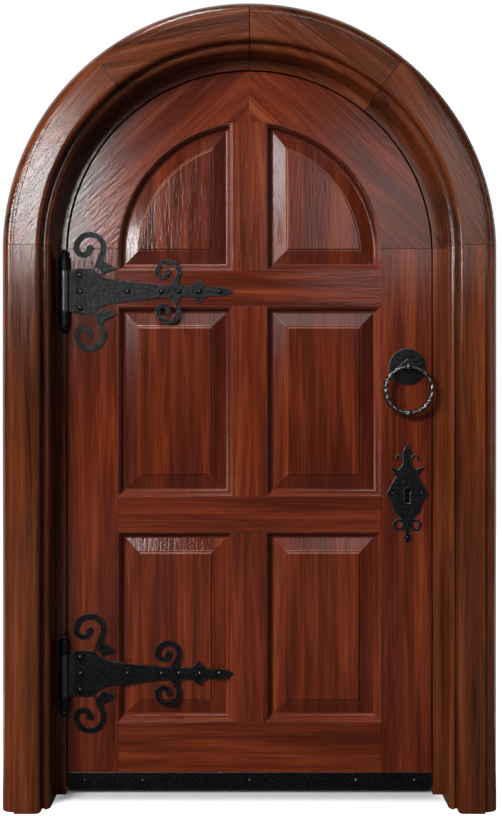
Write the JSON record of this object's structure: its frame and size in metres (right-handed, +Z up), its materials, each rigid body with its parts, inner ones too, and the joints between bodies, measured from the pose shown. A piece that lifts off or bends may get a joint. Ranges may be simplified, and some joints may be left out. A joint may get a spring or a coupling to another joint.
{
  "type": "arched wooden door",
  "caption": "Round-arched panelled hardwood door leaf hung in its moulded wooden frame, with black iron strap hinges, kick strip, ring pull and keyhole plate.",
  "frame": {"origin": "on the floor, midway between the jambs and midway through the frame's depth", "axes": "+Z up, -Y towards the front seen in the picture, +X towards the lock side"},
  "size_m": [1.352, 0.206, 2.208],
  "materials": {
    "varnished_wood": "satin varnish",
    "black_iron": "hammered, black",
    "lock_steel": "dull"
  },
  "bodies": {
    "frame": {"jamb_left": "varnished_wood", "jamb_right": "varnished_wood", "frame_arch_lower_left": "varnished_wood", "frame_arch_upper_left": "varnished_wood", "frame_arch_upper_right": "varnished_wood", "frame_arch_lower_right": "varnished_wood", "frame_loose_tenons": "varnished_wood", "lower_hinge_bracket": "black_iron", "upper_hinge_bracket": "black_iron", "lower_hinge_pin": "black_iron", "upper_hinge_pin": "black_iron", "lock_keep": "lock_steel"},
    "leaf": {"arch_rail_left": "varnished_wood", "arch_rail_right": "varnished_wood", "bottom_rail": "varnished_wood", "escutcheon": "black_iron", "escutcheon_nails": "black_iron", "frieze_rail": "varnished_wood", "hinge_stile": "varnished_wood", "inner_escutcheon": "black_iron", "kick_strip": "black_iron", "kick_strip_nails": "black_iron", "leaf_loose_tenons": "varnished_wood", "lock_case": "lock_steel", "lock_forend": "lock_steel", "lock_levers": "lock_steel", "lock_rail": "varnished_wood", "lock_stile": "varnished_wood", "lower_hinge_nails": "black_iron", "lower_hinge_strap": "black_iron", "lower_muntin": "varnished_wood", "middle_muntin": "varnished_wood", "moulding_arched_left": "varnished_wood", "moulding_arched_right": "varnished_wood", "moulding_lower_left": "varnished_wood", "moulding_lower_right": "varnished_wood", "moulding_middle_left": "varnished_wood", "moulding_middle_right": "varnished_wood", "panel_arched_left": "varnished_wood", "panel_arched_right": "varnished_wood", "panel_lower_left": "varnished_wood", "panel_lower_right": "varnished_wood", "panel_middle_left": "varnished_wood", "panel_middle_right": "varnished_wood", "ring_nut": "black_iron", "ring_rose": "black_iron", "ring_staple": "black_iron", "upper_hinge_nails": "black_iron", "upper_hinge_strap": "black_iron", "upper_muntin": "varnished_wood"},
    "ring": {"ring_pull": "black_iron"},
    "bolt": {"dead_bolt": "lock_steel"}
  },
  "joints": [
    {"name": "leaf_swing", "type": "hinge", "parent": "frame", "child": "leaf", "pos_m": [-0.521, 0.0035, 0], "axis": [0, 0, -1], "range_deg": [0, 68]},
    {"name": "ring_swing", "type": "hinge", "parent": "leaf", "child": "ring", "pos_m": [0.446, -0.011, 1.211], "axis": [-1, 0, 0], "range_deg": [0, 165]},
    {"name": "bolt_slide", "type": "slide", "parent": "leaf", "child": "bolt", "axis": [1, 0, 0], "range_m": [0, 0.02]}
  ]
}
